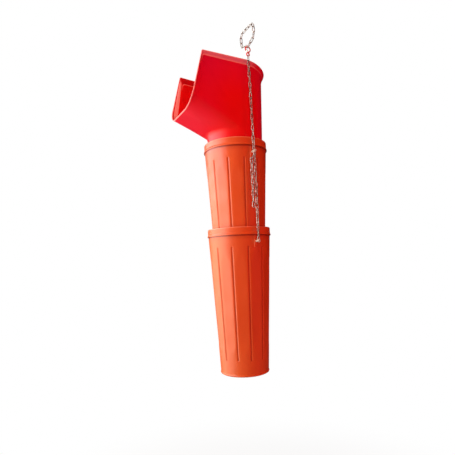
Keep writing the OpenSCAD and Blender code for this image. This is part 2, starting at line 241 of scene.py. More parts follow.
def noise(place, scale, detail, stretch=(1, 1, 1), rough=0.5):
    """Soft noise on Object coordinates, drawn out along an axis by stretch."""
    drawn = place.node("ShaderNodeMapping", i0=place, i3=stretch)
    return place.node("ShaderNodeTexNoise", Vector=drawn, Scale=scale, Detail=detail, Roughness=rough)


print("middle grey in linear light:", round(linear(128, 128, 128)[0], 3))

# %% [markdown]
# ## Polyethylene
# The mouldings are rotationally moulded polyethylene: a waxy satin with an orange-peel grain, slightly
# cloudy colour, long scuffs from handling and pale dust. The orange sections and the red hopper share
# the recipe, and differ in colour, in gloss, in wear and in painted light and shade. Painting them by
# hand would fix them to one mesh. A chart on each wall makes them bands of a distance in metres.

# %% Moulded plastic
BASE_ROUGH, FINE_GRAIN, COARSE_GRAIN, MOTTLE = 0.36, 420.0, 60.0, (0.3, 0.7)


def moulded_plastic(slot, deep, fresh, chalk, gloss, cloud, scuff, wear_and_painted_light):
    """Cloudy colour from deep to fresh, wear and painted light, chalky scuffs and a fine bumpy grain."""
    place, chart, shader = new_finish(slot, Specular_IOR_Level=gloss)
    clouds = noise(place, 3.0, detail=4.0, stretch=(1, 1, 0.5)).band(*MOTTLE)
    # Wear, painted shade and painted highlights come from each moulding's own function.
    colour, dulled = wear_and_painted_light(clouds.tint(deep, fresh), place, chart)
    drag = noise(place, 26.0, detail=4.0, stretch=(1, 1, 0.12), rough=0.6).band(0.62, 0.8)
    patch = noise(place, 4.5, detail=2.0).band(0.5, 0.75)
    marks = drag * patch * scuff
    colour = marks.tint(colour, chalk)
    rough = noise(place, 9.0, detail=3.0).band(0.25, 0.75) * cloud + BASE_ROUGH
    rough = rough + marks * 0.25 + dulled * 0.5
    grain = noise(place, FINE_GRAIN, detail=2.0) * 0.35 + noise(place, COARSE_GRAIN, detail=2.0) * 0.65
    bump = place.node("ShaderNodeBump", Strength=0.12, Distance=0.001, Height=grain)
    for name, value in (("Base Color", colour), ("Roughness", rough), ("Normal", bump)):
        place.feed(shader.inputs[name], value)


print("grain of about", [round(1 / scale / MM, 1) for scale in (FINE_GRAIN, COARSE_GRAIN)], "mm")

# %% [markdown]
# ### Painted shade and highlight on the sections
# Painted shade darkens the grooves and the corner under the bead, and a soft painted shadow lies on the
# wall just below. A painted highlight runs pale along the top of the collar.

# %% Orange plastic
PAINTED_SHADE_RED, HIGHLIGHT_ORANGE = linear(129, 19, 8), linear(255, 174, 140)
GROOVE_ENDS, UNDER_BEAD, COLLAR_TOP_BAND = (0.125, 0.985), (1.0715, 1.0785), (1.1345, 1.15)
SHADOW_START, BEAD_EDGE, GROOVE_SIDE = (1.03, 1.075), (1.0785, 1.0815), (0.002, 0.005)
BEAD_SHADE, SHADOW_SHARE, GROOVE_SHADE, HIGHLIGHT_SHARE = 0.55, 0.2, 0.6, 0.4


def section_painted_light(colour, place, chart):
    """Painted shade in the grooves, under the bead and below it, and a painted highlight on the top.

    The chart gives the distance from a groove's middle and the height in the section.
    """
    from_groove, height = chart.axis(0), chart.axis(1)
    # Painted shade in the grooves and under the bead, and a soft painted shadow on the wall below it.
    lines = (1 - from_groove.band(*GROOVE_SIDE)) * height.stripe(*GROOVE_ENDS, 0.01)
    below_bead_shadow = height.band(*SHADOW_START) * (1 - height.band(*BEAD_EDGE))
    painted_shade = height.stripe(*UNDER_BEAD, 0.003) * BEAD_SHADE + below_bead_shadow * SHADOW_SHARE + lines * GROOVE_SHADE
    # Painted highlight: a pale line along the top of the collar.
    collar_highlight = height.stripe(*COLLAR_TOP_BAND, 0.002) * HIGHLIGHT_SHARE
    return collar_highlight.tint(painted_shade.tint(colour, PAINTED_SHADE_RED), HIGHLIGHT_ORANGE), lines


moulded_plastic(
    "section_plastic",
    deep=linear(213, 88, 23),
    fresh=linear(222, 100, 30),
    chalk=linear(255, 185, 128),
    gloss=0.9,
    cloud=0.12,
    scuff=0.3,
    wear_and_painted_light=section_painted_light,
)
print("section plastic:", len(FINISHES["section_plastic"].node_tree.nodes), "nodes")

# %% [markdown]
# ### How the hopper is coloured
# The red turns pinker high up and towards the front. Painted light makes the back a lighter pink, a
# painted reflection makes the flare pale, painted highlights lie on the folds and in the mouth, and the
# edge is partly worn pale, partly a painted highlight. Painted shade darkens the inside below the edge.
# These bands follow the edge of the wall, not the height, so they are depths below that edge.

# %% Red plastic
HIGH_RED, BACK_PAINTED_LIGHT, SHADED_RED = linear(217, 1, 73), linear(255, 3, 73), linear(141, 0, 37)
FLARE_REFLECTION_PINK, WEAR_AND_HIGHLIGHT_PINK = linear(230, 163, 186), linear(255, 195, 192)
EDGE, FLARE, CREASE = (-0.004, 0.004), (0.0, 0.026), (0.027, 0.033)
INNER_CREASE, MOUTH_STRIP = (-0.068, -0.062), (-0.045, -0.017)
RIM_SHADE, MOUTH_SHADE, SOFT = (-0.058, -0.006), (-0.013, -0.006), 0.003
RIM_TO_MOUTH, HIGH, FRONT = (0.268, 0.292), (2.08, 2.44), (-0.12, -0.36)
SIDE_TO_BACK, PAST_CHAIN = (0.03, 0.16), (0.0, 0.1)
HIGH_PINK_SHARE, FRONT_PINK_SHARE, BACK_LIGHT_SHARE, FLARE_REFLECTION_SHARE, SHADE = 0.6, 0.4, 0.8, 0.65, 0.4
EDGE_WEAR_AND_HIGHLIGHT, CREASE_HIGHLIGHT, INNER_CREASE_HIGHLIGHT, STRIP_HIGHLIGHT = 0.68, 0.62, 0.35, 0.7
EDGE_LESS_BEHIND, CREASE_LESS_BEHIND = 0.5, 0.36


def hopper_wear_and_painted_light(colour, place, chart):
    """Pinker high up and in front, with painted light and shade in bands, and edges partly worn pale.

    The chart gives the way round from the back, up to a half at the lip, and the depth below the edge,
    which is negative inside.
    """
    way_round, depth = chart.axis(0), chart.axis(1)
    mouth = way_round.band(*RIM_TO_MOUTH)
    rim = 1 - mouth
    across, outside = place.axis(0), depth.band(-0.001, 0.001)
    # The outside turns pinker high up and towards the front.
    pink_drift = (place.axis(2).band(*HIGH) * HIGH_PINK_SHARE + across.band(*FRONT) * FRONT_PINK_SHARE) * outside
    # Painted light: the back of the outside is a lighter, pinker red.
    back_painted_light, behind = across.band(*SIDE_TO_BACK) * outside * BACK_LIGHT_SHARE, across.band(*PAST_CHAIN)
    # Painted reflection: the flare under the edge is pale pink, outside the mouth and not past the
    # chain.
    flare = depth.stripe(*FLARE, SOFT) * rim * (1 - behind) * FLARE_REFLECTION_SHARE
    # Painted highlights on the crease of the flare and on the crease inside the rim.
    fold_highlights = depth.stripe(*CREASE, SOFT) * (CREASE_HIGHLIGHT - behind * CREASE_LESS_BEHIND)
    fold_highlights = fold_highlights + depth.stripe(*INNER_CREASE, SOFT) * INNER_CREASE_HIGHLIGHT
    # The edge is partly worn pale and partly a painted highlight.
    pale_marks = depth.stripe(*EDGE, SOFT) * (EDGE_WEAR_AND_HIGHLIGHT - behind * EDGE_LESS_BEHIND) + fold_highlights * rim
    # Painted highlight on a strip inside the mouth.
    pale_marks = pale_marks + depth.stripe(*MOUTH_STRIP, SOFT) * STRIP_HIGHLIGHT * mouth
    shade = (depth.stripe(*RIM_SHADE, SOFT) * rim + depth.stripe(*MOUTH_SHADE, SOFT) * mouth) * SHADE
    toned = back_painted_light.tint(pink_drift.tint(colour, HIGH_RED), BACK_PAINTED_LIGHT)
    toned = flare.tint(shade.tint(toned, SHADED_RED), FLARE_REFLECTION_PINK)
    return pale_marks.tint(toned, WEAR_AND_HIGHLIGHT_PINK), pale_marks


moulded_plastic(
    "hopper_plastic",
    deep=linear(226, 1, 8),
    fresh=linear(236, 1, 4),
    chalk=linear(255, 71, 71),
    gloss=0.46,
    cloud=0.1,
    scuff=0.2,
    wear_and_painted_light=hopper_wear_and_painted_light,
)
print("hopper plastic:", len(FINISHES["hopper_plastic"].node_tree.nodes), "nodes")

# %% [markdown]
# ## Steel and paint
# The chain is hot-dip galvanised, so it is pale grey, mottled and dull in places. The nuts and
# washers are bright zinc, the plates are plain steel, and the hooks carry worn red paint. One flat grey
# would look like plastic on so thin a bar, so the recipe drifts between two greys in patches as small
# as the zinc's spangle.

# %% Metals


def metal(slot, dark, pale, rough_low, rough_span, spangle, shine):
    """Grey that drifts between two shades in patches of one size, with roughness that follows it."""
    place, _, shader = new_finish(slot, Metallic=shine)
    patch = noise(place, spangle, detail=3.0).band(*MOTTLE)
    rough = (1 - patch) * rough_span + rough_low
    pits = noise(place, spangle * 3, detail=2.0)
    bump = place.node("ShaderNodeBump", Strength=0.15, Distance=0.0005, Height=pits)
    for name, value in (("Base Color", patch.tint(dark, pale)), ("Roughness", rough), ("Normal", bump)):
        place.feed(shader.inputs[name], value)


CHAIN_GREYS = linear(114, 121, 112), linear(244, 250, 244)
ZINC_GREYS = linear(206, 206, 183), linear(248, 250, 244)
PLATE_GREYS = linear(84, 84, 86), linear(140, 140, 142)
metal("chain_steel", *CHAIN_GREYS, rough_low=0.26, rough_span=0.28, spangle=90.0, shine=0.6)
metal("zinc_hardware", *ZINC_GREYS, rough_low=0.24, rough_span=0.2, spangle=120.0, shine=0.4)
metal("plate_steel", *PLATE_GREYS, rough_low=0.35, rough_span=0.2, spangle=60.0, shine=0.9)
print("metals:", [slot for slot in FINISHES if not slot.endswith("plastic")])

# %% Worn paint, and a finish for every node
CHIP_SCALE, CHIPS = 240.0, (0.66, 0.72)


def worn_paint(slot, paint, shade, bare):
    """Paint with a darker drift, and bare metal where a coarse noise breaks through."""
    place, _, shader = new_finish(slot)
    pale_marks = noise(place, CHIP_SCALE, detail=4.0).band(*CHIPS)
    colour = pale_marks.tint(noise(place, 60.0, detail=2.0).band(*MOTTLE).tint(shade, paint), bare)
    rough = 0.42 - pale_marks * 0.1
    for name, value in (("Base Color", colour), ("Metallic", pale_marks * 0.8), ("Roughness", rough)):
        place.feed(shader.inputs[name], value)


worn_paint(
    "hook_paint",
    paint=linear(246, 45, 52),
    shade=linear(198, 25, 33),
    bare=linear(176, 171, 165),
)
for node in frame["nodes"].values():
    slot = next(s["material_slot"] for s in frame["record"]["subparts"] if s["node"] == node.name)
    node.data.materials.clear()
    node.data.materials.append(FINISHES[slot])
print("finishes:", sorted(FINISHES))

# %% [markdown]
# ## The sections
# Each section is one wall turned round the axis: a rolled edge at the outlet, a long taper, a bead and
# a collar, then down again inside over the ledge that the next piece rests on. Cutting the grooves with
# Booleans would leave a ragged mesh. Here the twelve grooves, the flat panels between them and the two
# flat pads under the chain bolts are offsets of the radius, so the whole wall stays one grid. Moulded
# walls are never true circles, so a slow wave wanders round them by part of a millimetre.

# %% Sizes of a section
OUTLET_R, BODY_R, LEDGE_W, BEAD_PROUD, WALL = 191.5, 247.0, 3.0, 5.0, 6.5
SECTION_LEN, COLLAR_H, LEDGE_RISE, BEAD_H = 1140.0, 60.0, 4.0, 16.0
SECTION_RISE = 679.6
LIP_H, LIP_PROUD = 16.0, 3.0
BEAD_Z = SECTION_LEN - COLLAR_H
TAPER = (BODY_R - OUTLET_R) / (BEAD_Z - LIP_H)
COLLAR_R = BODY_R + LEDGE_W
BEAD_R = COLLAR_R + BEAD_PROUD
GROOVES, GROOVE_CUT_R, GROOVE_DEPTH, GROOVE_FOOT, GROOVE_DROP = 12, 13.0, 3.6, 122.0, 89.0
PAD_W, PAD_H, PAD_CORNER, PAD_FACE = 30.0, 102.0, 10.0, 248.24
PAD_FOOT = BEAD_Z - PAD_H + BEAD_H / 4
PANEL_FLAT, PANEL_FADE = 3.5, 120.0
print("taper of the wall in degrees:", round(math.degrees(math.atan(TAPER)), 2))

# %% Profile of the wall
BODY_ROWS, INNER_ROWS, FINE_ROWS, FINE_REACH, ROUND_STEPS, ROW_GAP = 46, 12, 13, 9.0, 9, 4.0
BEAD_EASE, BEAD_NIP, BEAD_FIRST_DEG = 1.2, 0.3, 2.5


def turn(centre, radius, start, end, steps):
    """Points of an arc in the plane of radius and height: centre plus radius times cosine and sine."""
    angle = np.radians(np.linspace(start, end, steps))
    return np.stack([centre[0] + radius * np.cos(angle), centre[1] + radius * np.sin(angle)], 1)


def section_profile():
    """Radius, height and a flag for the outer taper, round the wall from the outlet's inner edge.

    Arcs make the rolled edge, the bead and the rim, and straight lines make the taper and the bore. Rows
    lie closer where a groove or a pad ends.
    """
    lip_top = math.degrees(math.acos(1 - 2 * LIP_PROUD / LIP_H))
    lip_middle = (OUTLET_R + LIP_PROUD - LIP_H / 2, LIP_H / 2)
    lip = turn(lip_middle, LIP_H / 2, -90, lip_top, ROUND_STEPS)
    ends = (GROOVE_FOOT, BEAD_Z - GROOVE_DROP, PAD_FOOT)
    fine = [np.linspace(z - FINE_REACH, z + FINE_REACH, FINE_ROWS) for z in ends]
    even = np.linspace(LIP_H + 2, BEAD_Z - 1, BODY_ROWS)
    rise = np.unique(np.round(np.concatenate([even, *fine]), 2))
    body = np.stack([OUTLET_R + (rise - LIP_H) * TAPER, rise], 1)
    curve_r = (BEAD_H**2 + BEAD_PROUD**2) / (2 * BEAD_PROUD)
    curve_top = math.degrees(math.asin(BEAD_H / curve_r))
    bead = turn((BEAD_R - curve_r, BEAD_Z), curve_r, BEAD_FIRST_DEG, curve_top, ROUND_STEPS - 1)
    under = [[BODY_R, BEAD_Z], [BEAD_R - BEAD_EASE, BEAD_Z], [BEAD_R - BEAD_NIP, BEAD_Z + BEAD_NIP]]
    bead = np.concatenate([under, bead])
    half_up = (BEAD_Z + SECTION_LEN) / 2 + 2 * ROW_GAP
    collar = np.array([[COLLAR_R, bead[-1, 1] + ROW_GAP], [COLLAR_R, half_up]])
    rim = turn((COLLAR_R - WALL / 2, SECTION_LEN - WALL / 2), WALL / 2, 0, 180, ROUND_STEPS)
    ledge_z, bore = BEAD_Z + LEDGE_RISE, COLLAR_R - WALL
    inner_z = np.linspace(ledge_z, 0, INNER_ROWS)
    inner = np.stack([OUTLET_R - WALL + (inner_z - LIP_H) * TAPER, inner_z], 1)
    ledge = [[bore, ledge_z + 5 * ROW_GAP], [bore, ledge_z + 1], [bore - 1, ledge_z]]
    inside = np.concatenate([ledge, inner])
    rows = np.concatenate([lip, body, bead, collar, rim, inside])
    taper = np.zeros(len(rows))
    taper[len(lip) : len(lip) + len(body)] = 1
    taper[len(lip) + len(body)] = 0.5
    return rows[:, 0], rows[:, 1], taper


print("profile of", len(section_profile()[0]), "points")

# %% Columns round the axis
GROOVE_COLUMNS = np.array([2.5, 5, 7, 8.2, 9, 9.8, 11, 13.5, 20])
PAD_COLUMNS = np.array([26, 20, 17.5, 16, 15, 14, 12.5, 7])


def section_angles(radius):
    """Columns for every row: close together over each groove and at the pads' edges, measured in mm."""
    half = np.radians(180 / GROOVES)
    across = GROOVE_COLUMNS / radius[:, None]
    aside = half - PAD_COLUMNS / radius[:, None]
    zero = np.zeros((len(radius), 1))
    sector = np.concatenate([-aside[:, ::-1], -across[:, ::-1], zero, across, aside, zero + half], 1)
    centres = (np.arange(GROOVES) + 0.5) * 2 * half
    return (centres[None, :, None] + sector[:, None, :]).reshape(len(radius), -1)


print("columns round the axis:", section_angles(np.array([BODY_R])).shape[1])

# %% [markdown]
# ### Grooves, panels and pads
# Each form is a function of the angle and the height that says how far the wall moves in or out. Such
# functions can be added up in any number, and none of them needs to know how the grid is made.

# %% Grooves, panels and pads
GROOVE_SOFT, PAD_SOFT, PAD_SIDE = 0.3, 3.0, 0.8


def groove_cut(angle, radius, height):
    """Depth of the grooves: a round cutter that dips into the wall and tapers off at both ends.

    It is the root of the cutter's radius squared less the distance aside squared, minus the height of
    the cutter's middle over the wall, with a soft corner at zero.
    """
    step = 2 * np.pi / GROOVES
    side = ((angle / step) % 1 - 0.5) * step * radius
    clear = GROOVE_CUT_R - GROOVE_DEPTH
    from_ends = np.minimum(height - GROOVE_FOOT + clear, BEAD_Z - GROOVE_DROP + clear - height)
    cutter = np.clip(from_ends, 0, GROOVE_CUT_R)
    dip = np.sqrt(np.maximum(cutter**2 - side**2, 0)) - clear
    return (dip + np.sqrt(dip**2 + GROOVE_SOFT)) / 2


def panel_dip(angle, radius, height):
    """Depth of the flat panels between the grooves: a chord off the circle, faded out at both ends.

    A chord's radius is its least radius over the cosine of the angle from the panel's middle.
    """
    step = 2 * np.pi / GROOVES
    aside = ((angle / step + 0.5) % 1 - 0.5) * step
    from_ends = np.minimum(height - GROOVE_FOOT, BEAD_Z - GROOVE_DROP - height)
    depth = PANEL_FLAT * np.clip(2 * from_ends / PANEL_FADE - 1, 0, 1)
    return np.maximum(radius - (radius - depth) / np.cos(aside), 0)


def pad_rise(angle, radius, height):
    """How far the flat pads stand out of the taper, with rounded corners and a soft edge.

    A flat face has its distance from the axis over the sine as its radius, and the distance from a
    rounded rectangle fades it out.
    """
    x, y = radius * np.cos(angle), np.abs(radius * np.sin(angle))
    middle = PAD_FOOT + PAD_H / 2
    beside, above = np.abs(x) - PAD_W / 2, np.abs(height - middle) - PAD_H / 2
    over = np.stack(np.broadcast_arrays(beside, above)) + PAD_CORNER
    edge = np.hypot(*np.maximum(over, 0)) + np.minimum(over.max(0), 0) - PAD_CORNER
    cover = np.clip(0.5 - edge / PAD_SOFT, 0, 1)
    cover = cover**2 * (3 - 2 * cover) * (y > radius * PAD_SIDE)
    return cover * np.maximum(PAD_FACE / np.maximum(np.abs(np.sin(angle)), PAD_SIDE) - radius, 0)


groove_middle = groove_cut(np.pi / GROOVES, BODY_R, BEAD_Z / 2)
print("depth of a groove half-way up:", round(float(groove_middle), 2), "mm")

# %% Walls of both sections
WANDER_MM, WANDER_PITCH = (0.4, 0.28), (210, 130)


def section_wall(rise, drift):
    """The wall of one section as a grid: profile rows by columns round the axis.

    Its radius is the profile's, less panels and grooves, plus pads and two slow sine waves.
    """
    radius, height, taper = section_profile()
    angle = section_angles(radius)
    radius, height, taper = radius[:, None], height[:, None], taper[:, None]
    three_waves = np.sin(3 * angle + height / WANDER_PITCH[0] + drift)
    five_waves = np.sin(5 * angle - height / WANDER_PITCH[1] + 2 * drift)
    wander = WANDER_MM[0] * three_waves + WANDER_MM[1] * five_waves
    radius = radius - panel_dip(angle, radius, height) * (taper == 1)
    pads = pad_rise(angle, radius, height) * (taper > 0)
    surface = radius + wander - groove_cut(angle, radius, height) * (taper == 1) + pads
    return np.stack([surface * np.cos(angle), surface * np.sin(angle), height + rise + 0 * angle], -1)


def section_chart():
    """Distance from the middle of the nearest groove and height in the section, both in metres."""
    radius, height, _ = section_profile()
    step = 2 * np.pi / GROOVES
    aside = np.abs((section_angles(radius) / step) % 1 - 0.5) * step * radius[:, None]
    return np.stack(np.broadcast_arrays(aside, height[:, None]), -1) * MM


for name, rise, drift in (("upper_section", SECTION_RISE, 0.6), ("lower_section", 0.0, 2.1)):
    wall, chart = section_wall(rise, drift), section_chart()
    quads = grid_quads(*wall.shape[:2])
    add_piece(name + "_wall", wall, quads, name, "section_plastic", [name], sharp_deg=50, chart=chart)

# %% [markdown]
# ## The hopper
# The hopper's wall runs from the spout's foot up to one closed edge: round the back of the rim, along
# the top to a front corner, down the mouth, across the lip and back. Flat plates joined at folds would
# lose its swell, so it is a loft between rings that all have the same number of points. The spout
# gives two circles, and the rim and mouth give three outlines: where the flare starts, the crease
# half-way up it, and the edge itself.

# %% Sizes of the hopper
SEAT_Z, HOPPER_TURN = 1763.6, math.radians(-2.5)
SPOUT_R, SPOUT_TOP, SPOUT_DROP, SPOUT_TAPER = 222.5, 126.0, 120.0, 9.0
SEAT_R, SEAT_H, SEAT_GAP, SEAT_SINK, SEAT_ROUND = 242.5, 16.0, 0.4, 5.0, 2.0
RIM_H, RIM_SLOPE, FRONT_RISE = 642.0, math.radians(7), 20.0
MOUTH_REACH, LIP_REACH, LIP_HEIGHT = 364.0, 470.0, 250.0
MOUTH_W, MOUTH_CORNER = 472.0, 130.0
MOUTH_TOP = RIM_H + FRONT_RISE
MOUTH_LEAN = math.atan2(LIP_REACH - MOUTH_REACH, MOUTH_TOP - LIP_HEIGHT)
MOUTH_LEN = (MOUTH_TOP - LIP_HEIGHT) / math.cos(MOUTH_LEAN)
RAMP_LEAN = math.atan2(LIP_HEIGHT - SPOUT_TOP, LIP_REACH - SPOUT_R)
print("lean of mouth and ramp:", [round(math.degrees(a), 1) for a in (MOUTH_LEAN, RAMP_LEAN)])

# %% Half a ring round the rim and the mouth
ARC_STEPS, TOP_STEPS, TIP_STEPS, SIDE_STEPS, CORNER_STEPS, LIP_STEPS = 36, 16, 8, 18, 22, 9
HALF_COUNTS = (ARC_STEPS, TOP_STEPS, TIP_STEPS, SIDE_STEPS, CORNER_STEPS, LIP_STEPS)


def between(start, end, count, last=False):
    """Points on a straight line, without the last one unless asked."""
    share = np.linspace(0, 1, count + 1)[: count + last, None]
    return np.asarray(start) * (1 - share) + np.asarray(end) * share


def outline(rim_r, drop, back, inset, corner):
    """Half of a ring round the rim and the mouth, from the middle of the back to that of the lip.

    The ring lies a drop below the rim's plane, behind the mouth's plane and inset from its sides. It is
    a quarter circle, a straight top, a quadratic bend, a straight side, a round corner and half a lip.
    """
    slope, lean = RIM_SLOPE, MOUTH_LEAN
    angle = np.linspace(0, np.pi / 2, ARC_STEPS, endpoint=False)
    along, down = rim_r * np.cos(angle), np.full(ARC_STEPS, -drop)
    arc = [
        along * math.cos(slope) + down * math.sin(slope),
        rim_r * np.sin(angle),
        RIM_H - along * math.sin(slope) + down * math.cos(slope),
    ]

    def mouth(side, up):
        """A point of the mouth's plane, moved back from it."""
        side, up = np.broadcast_arrays(np.asarray(side, float), np.asarray(up, float))
        x = back * math.cos(lean) + up * math.sin(lean) - LIP_REACH
        return np.stack([x, side, up * math.cos(lean) - back * math.sin(lean) + LIP_HEIGHT], -1)

    half, fall = MOUTH_W / 2 - inset, back * math.tan(RAMP_LEAN - MOUTH_LEAN)
    start = np.array([-drop * math.sin(slope), rim_r, RIM_H - drop * math.cos(slope)])
    tip, low = mouth(half, MOUTH_LEN - drop), mouth(half, MOUTH_CORNER - fall)
    before = tip + (start - tip) / np.linalg.norm(start - tip) * corner
    after = tip + (low - tip) / np.linalg.norm(low - tip) * corner
    share = np.linspace(0, 1, TIP_STEPS, endpoint=False)[:, None]
    bend = (1 - share) ** 2 * before + 2 * share * (1 - share) * tip + share**2 * after
    swing = np.linspace(0, np.pi / 2, CORNER_STEPS, endpoint=False)
    reach = MOUTH_CORNER - inset * np.cos(swing)
    centre = half - MOUTH_CORNER + inset
    round_corner = mouth(centre + reach * np.cos(swing), MOUTH_CORNER - fall - reach * np.sin(swing))
    lip = between(mouth(centre, -fall), mouth(0, -fall), LIP_STEPS, True)
    sides = [between(start, before, TOP_STEPS), bend, between(after, low, SIDE_STEPS)]
    return np.concatenate([np.stack(arc, 1), *sides, round_corner, lip])


print("half a ring has", sum(HALF_COUNTS) + 1, "points")

# %% Rings of the hopper
SPOUT_TURNS = np.radians([0, 86, 91, 93, 102, 164, 180])
SPOUT_MID_DROP, SPOUT_MID_TAPER = 60.0, 0.26


def whole_ring(half):
    """Both halves of a ring: the given one and its mirror image, with each middle point once."""
    return np.concatenate([half, half[-2:0:-1] * [1, -1, 1]])


def spout_ring(radius, height):
    """A circle of the spout, whose points are spread to face the rim's and the mouth's."""
    spans = zip(SPOUT_TURNS, SPOUT_TURNS[1:], HALF_COUNTS)
    parts = [np.linspace(a, b, n, endpoint=False) for a, b, n in spans]
    angle = np.concatenate([*parts, SPOUT_TURNS[-1:]])
    circle = [radius * np.cos(angle), radius * np.sin(angle), np.full(len(angle), height)]
    return whole_ring(np.stack(circle, 1))


RINGS = [
    spout_ring(SPOUT_R - SPOUT_TAPER * SPOUT_MID_TAPER, SPOUT_TOP - SPOUT_MID_DROP),
    spout_ring(SPOUT_R, SPOUT_TOP),
    whole_ring(outline(rim_r=242.0, drop=62.0, back=46.0, inset=12.0, corner=18.0)),
    whole_ring(outline(rim_r=249.0, drop=27.0, back=16.0, inset=7.5, corner=11.0)),
    whole_ring(outline(rim_r=260.0, drop=1.5, back=2.0, inset=0.3, corner=8.0)),
]
print("rings of", [len(r) for r in RINGS], "points")

# %% [markdown]
# ### From rings to a skin
# Straight lines from ring to ring would leave a hard crease at each one. A subdivision surface would
# round them all alike. Here each corner gives way to a quadratic curve with a reach of its own: wide
# over the spout, tight at the crease of the flare.

# %% Loft of the hopper
BENDS, BEND_STEPS, RUN_STEPS, BEND_ROOM = (44.0, 12.0, 4.0), (11, 6, 4), (3, 26, 5, 5), 0.48


def unit(vectors):
    """The same directions with a length of one."""
    return vectors / np.linalg.norm(vectors, axis=-1, keepdims=True)


def soft_loft(rings):
    """Rows from ring to ring along straight lines, with each corner replaced by a quadratic curve."""
    rows, start = [], rings[0]
    for k, (reach, steps) in enumerate(zip(BENDS, BEND_STEPS), 1):
        before, after = rings[k - 1] - rings[k], rings[k + 1] - rings[k]
        room = np.minimum(np.linalg.norm(before, axis=1), np.linalg.norm(after, axis=1))[:, None]
        cut = np.minimum(reach, room * BEND_ROOM)
        enter, leave = rings[k] + unit(before) * cut, rings[k] + unit(after) * cut
        run = np.linspace(0, 1, RUN_STEPS[k - 1], endpoint=False)
        rows += [start + (enter - start) * s for s in run]
        for s in np.linspace(0, 1, steps):
            rows.append((1 - s) ** 2 * enter + 2 * s * (1 - s) * rings[k] + s**2 * leave)
        start = rows.pop()
    rows += [start + (rings[-1] - start) * s for s in np.linspace(0, 1, RUN_STEPS[-1])]
    return np.stack(rows)


def outward(rows):
    """Unit normals of a grid that closes round its columns: the cross product of its two directions."""
    up = np.gradient(rows, axis=0)
    round_it = np.roll(rows, -1, axis=1) - np.roll(rows, 1, axis=1)
    return unit(np.cross(round_it, up))


spout_heights = np.array([-SPOUT_DROP, -60.0, -8.0, 22.0])
spout_radii = SPOUT_R - SPOUT_TAPER * (SPOUT_TOP - spout_heights) / (SPOUT_TOP + SPOUT_DROP)
spout_rows = np.stack([spout_ring(radius, height) for radius, height in zip(spout_radii, spout_heights)])
skin = np.concatenate([spout_rows, soft_loft(RINGS)])
print("outer skin of", skin.shape[0], "by", skin.shape[1], "points")

# %% [markdown]
# ### From skin to wall
# The inside is the skin moved in by the wall's thickness along its normals, and a half circle rounds
# the edge between them. A ring on the spout, which rests on the ledge in the collar, is five more rows
# of the same grid. The chart that the finish reads is worked out here, where the edge is known.

# %% Wall, edge and seat of the hopper
SEAT_ROW, EDGE_TURNS = 3, np.radians([30, 60, 90, 120, 150])
normal = outward(skin)
inner = skin - normal * WALL
edge_way, middle = unit(skin[-1] - skin[-2]), (skin[-1] + inner[-1]) / 2
round_over = EDGE_TURNS[:, None, None]
edge = middle + (np.cos(round_over) * normal[-1] + np.sin(round_over) * edge_way) * WALL / 2
seat_root = SPOUT_R - SEAT_SINK
seat_under = [(seat_root, SEAT_GAP), (SEAT_R - SEAT_ROUND, SEAT_GAP), (SEAT_R, SEAT_GAP + SEAT_ROUND)]
seat_profile = [*seat_under, (SEAT_R, SEAT_H), (seat_root, SEAT_H)]
seat_rows = np.stack([spout_ring(radius, height) for radius, height in seat_profile])
hopper = np.concatenate([skin[:SEAT_ROW], seat_rows, skin[SEAT_ROW:], edge, inner[::-1]])
depth = np.linalg.norm(hopper - middle, axis=2) * MM
depth[-len(inner) :] *= -1
column = np.arange(hopper.shape[1])
way_round = np.minimum(column, len(column) - column) / len(column)
chart = np.stack(np.broadcast_arrays(way_round, depth), -1)
c, s = math.cos(HOPPER_TURN), math.sin(HOPPER_TURN)
hopper = hopper @ np.array([[c, s, 0], [-s, c, 0], [0, 0, 1]]) + [0, 0, SEAT_Z]
quads = grid_quads(*hopper.shape[:2])
add_piece(
    "hopper_wall", hopper, quads, "hopper", "hopper_plastic", ["hopper"], sharp_deg=50, chart=chart
)

# %% [markdown]
# ## The chains
# A long link is a round bar bent into an oval with straight sides, and a small weld swells one side.
# A curve with a bevel would do for one link, but there are over a hundred. So one tube round the oval is
# worked out once and copied to every link's place. Links that hang are never quite square to each
# other, so each turns a few degrees.

# %% One link
WIRE_R, LINK_INSIDE, LINK_GAP, PLAY = 3.0, 41.0, 11.0, 0.4
PITCH_MM, BOW_R, STRAIGHT = LINK_INSIDE - PLAY, LINK_GAP / 2 + WIRE_R, LINK_INSIDE - LINK_GAP
BOW_STEPS, WIRE_SIDES = 10, 9
WELD_Z, WELD_SWELL = np.array([7.5, 2.6, 0, -2.6, -7.5]), np.array([1, 1.09, 1.13, 1.09, 1])


def link_tube():
    """Points of one link in its own XZ plane: the oval's centre line with a circle round each point."""
    arc = np.linspace(0, np.pi, BOW_STEPS)
    top = np.stack([BOW_R * np.cos(arc), STRAIGHT / 2 + BOW_R * np.sin(arc)], 1)
    left = np.stack([np.full(len(WELD_Z), -BOW_R), WELD_Z], 1)
    line = np.concatenate([top, left, -top, [[BOW_R, 0]]])
    way = unit(np.roll(line, -1, 0) - np.roll(line, 1, 0))
    aside = np.stack([way[:, 1], -way[:, 0]], 1)
    radius = np.full(len(line), WIRE_R)
    radius[BOW_STEPS : BOW_STEPS + len(WELD_Z)] *= WELD_SWELL
    phase = np.linspace(0, 2 * np.pi, WIRE_SIDES, endpoint=False)
    out = radius[:, None] * np.cos(phase)
    x, z = (line[:, None, k] + aside[:, None, k] * out for k in (0, 1))
    return np.stack([x, radius[:, None] * np.sin(phase), z], -1)


LINK = link_tube()
LINK_QUADS = grid_quads(*LINK.shape[:2])
print("a link has", len(LINK_QUADS), "quads")

# %% Strands of links
SEED, LOOSE = 12, 9
shake = np.random.default_rng(SEED)


